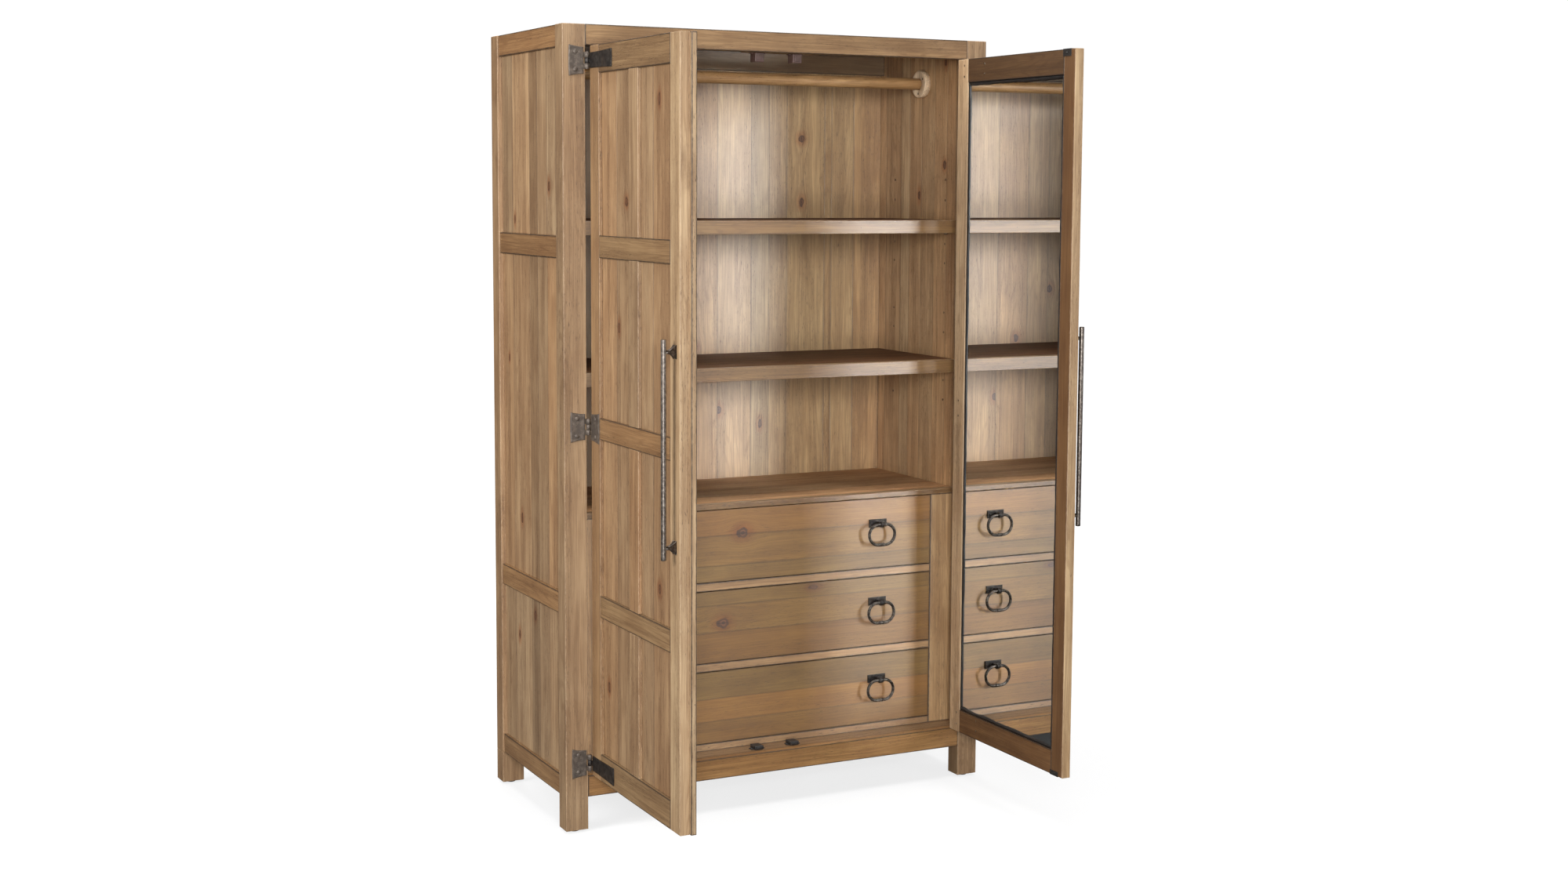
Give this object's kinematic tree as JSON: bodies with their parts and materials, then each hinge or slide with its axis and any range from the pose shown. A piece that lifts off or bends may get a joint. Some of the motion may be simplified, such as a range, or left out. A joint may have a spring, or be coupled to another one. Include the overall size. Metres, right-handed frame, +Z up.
{
  "type": "armoire",
  "caption": "Tall wooden armoire with two hinged panelled doors, a mirror inside one, a hanging rod, shelves and drawers with ring pulls.",
  "frame": {"origin": "on the floor at the middle of the overall box, the doors standing open at a right angle", "axes": "+Z up, -Y towards the doors and drawers, +X to the right seen from the front"},
  "size_m": [1.22, 1.099, 2.032],
  "materials": {
    "case_wood": "worn satin, light brown",
    "inner_wood": "matt, light brown",
    "drawer_wood": "matt, light brown",
    "drawer_box_wood": "plain, unfinished",
    "iron": "hammered, dark waxed",
    "steel": "dark, rubbed bright on top",
    "mirror": "silvered glass",
    "glide": "matt dark brown"
  },
  "bodies": {
    "case": {"post_front_left": "case_wood", "post_front_right": "case_wood", "post_back_left": "case_wood", "post_back_right": "case_wood", "glide_front_left": "glide", "glide_front_right": "glide", "glide_back_left": "glide", "glide_back_right": "glide", "side_panel_left": "case_wood", "side_panel_right": "case_wood", "rod_cup_left": "inner_wood", "rod_cup_right": "inner_wood", "hinge_post_bottom_left": "iron", "hinge_post_bottom_right": "iron", "hinge_post_middle_left": "iron", "hinge_post_middle_right": "iron", "hinge_post_top_left": "iron", "hinge_post_top_right": "iron", "top_panel": "case_wood", "top_rail": "case_wood", "apron": "case_wood", "bottom_board": "inner_wood", "back_panel": "inner_wood", "upper_shelf": "inner_wood", "middle_shelf": "inner_wood", "drawer_deck": "inner_wood", "drawer_frame": "inner_wood", "hanging_rod": "inner_wood"},
    "door_left": {"door_frame_left": "case_wood", "door_panel_left": "case_wood", "pull_left": "iron", "hinge_door_bottom_left": "iron", "hinge_door_middle_left": "iron", "hinge_door_top_left": "iron", "astragal": "case_wood"},
    "door_right": {"door_frame_right": "case_wood", "door_panel_right": "case_wood", "pull_right": "iron", "hinge_door_bottom_right": "iron", "hinge_door_middle_right": "iron", "hinge_door_top_right": "iron", "mirror": "mirror"},
    "drawer_1": {"drawer_front_1": "drawer_wood", "drawer_box_1": "drawer_box_wood", "ring_bracket_1_left": "iron", "ring_bracket_1_right": "iron"},
    "ring_1_left": {"ring_1_left": "steel"},
    "ring_1_right": {"ring_1_right": "steel"},
    "drawer_2": {"drawer_front_2": "drawer_wood", "drawer_box_2": "drawer_box_wood", "ring_bracket_2_left": "iron", "ring_bracket_2_right": "iron"},
    "ring_2_left": {"ring_2_left": "steel"},
    "ring_2_right": {"ring_2_right": "steel"},
    "drawer_3": {"drawer_front_3": "drawer_wood", "drawer_box_3": "drawer_box_wood", "ring_bracket_3_left": "iron", "ring_bracket_3_right": "iron"},
    "ring_3_left": {"ring_3_left": "steel"},
    "ring_3_right": {"ring_3_right": "steel"}
  },
  "joints": [
    {"name": "door_left_hinge", "type": "hinge", "parent": "case", "child": "door_left", "pos_m": [-0.5485, 0.006, 1.038], "axis": [0, 0, -1], "range_deg": [-90, 80]},
    {"name": "door_right_hinge", "type": "hinge", "parent": "case", "child": "door_right", "pos_m": [0.5485, 0.006, 1.038], "axis": [0, 0, 1], "range_deg": [-90, 80]},
    {"name": "drawer_1_slide", "type": "slide", "parent": "case", "child": "drawer_1", "axis": [0, -1, 0], "range_m": [0, 0.33]},
    {"name": "drawer_2_slide", "type": "slide", "parent": "case", "child": "drawer_2", "axis": [0, -1, 0], "range_m": [0, 0.33]},
    {"name": "drawer_3_slide", "type": "slide", "parent": "case", "child": "drawer_3", "axis": [0, -1, 0], "range_m": [0, 0.33]},
    {"name": "ring_1_left_hinge", "type": "hinge", "parent": "drawer_1", "child": "ring_1_left", "pos_m": [-0.331, 0.0655, 0.72175], "axis": [-1, 0, 0], "range_deg": [0, 80]},
    {"name": "ring_1_right_hinge", "type": "hinge", "parent": "drawer_1", "child": "ring_1_right", "pos_m": [0.331, 0.0655, 0.72175], "axis": [-1, 0, 0], "range_deg": [0, 80]},
    {"name": "ring_2_left_hinge", "type": "hinge", "parent": "drawer_2", "child": "ring_2_left", "pos_m": [-0.331, 0.0655, 0.50525], "axis": [-1, 0, 0], "range_deg": [0, 80]},
    {"name": "ring_2_right_hinge", "type": "hinge", "parent": "drawer_2", "child": "ring_2_right", "pos_m": [0.331, 0.0655, 0.50525], "axis": [-1, 0, 0], "range_deg": [0, 80]},
    {"name": "ring_3_left_hinge", "type": "hinge", "parent": "drawer_3", "child": "ring_3_left", "pos_m": [-0.331, 0.0655, 0.28875], "axis": [-1, 0, 0], "range_deg": [0, 80]},
    {"name": "ring_3_right_hinge", "type": "hinge", "parent": "drawer_3", "child": "ring_3_right", "pos_m": [0.331, 0.0655, 0.28875], "axis": [-1, 0, 0], "range_deg": [0, 80]}
  ]
}
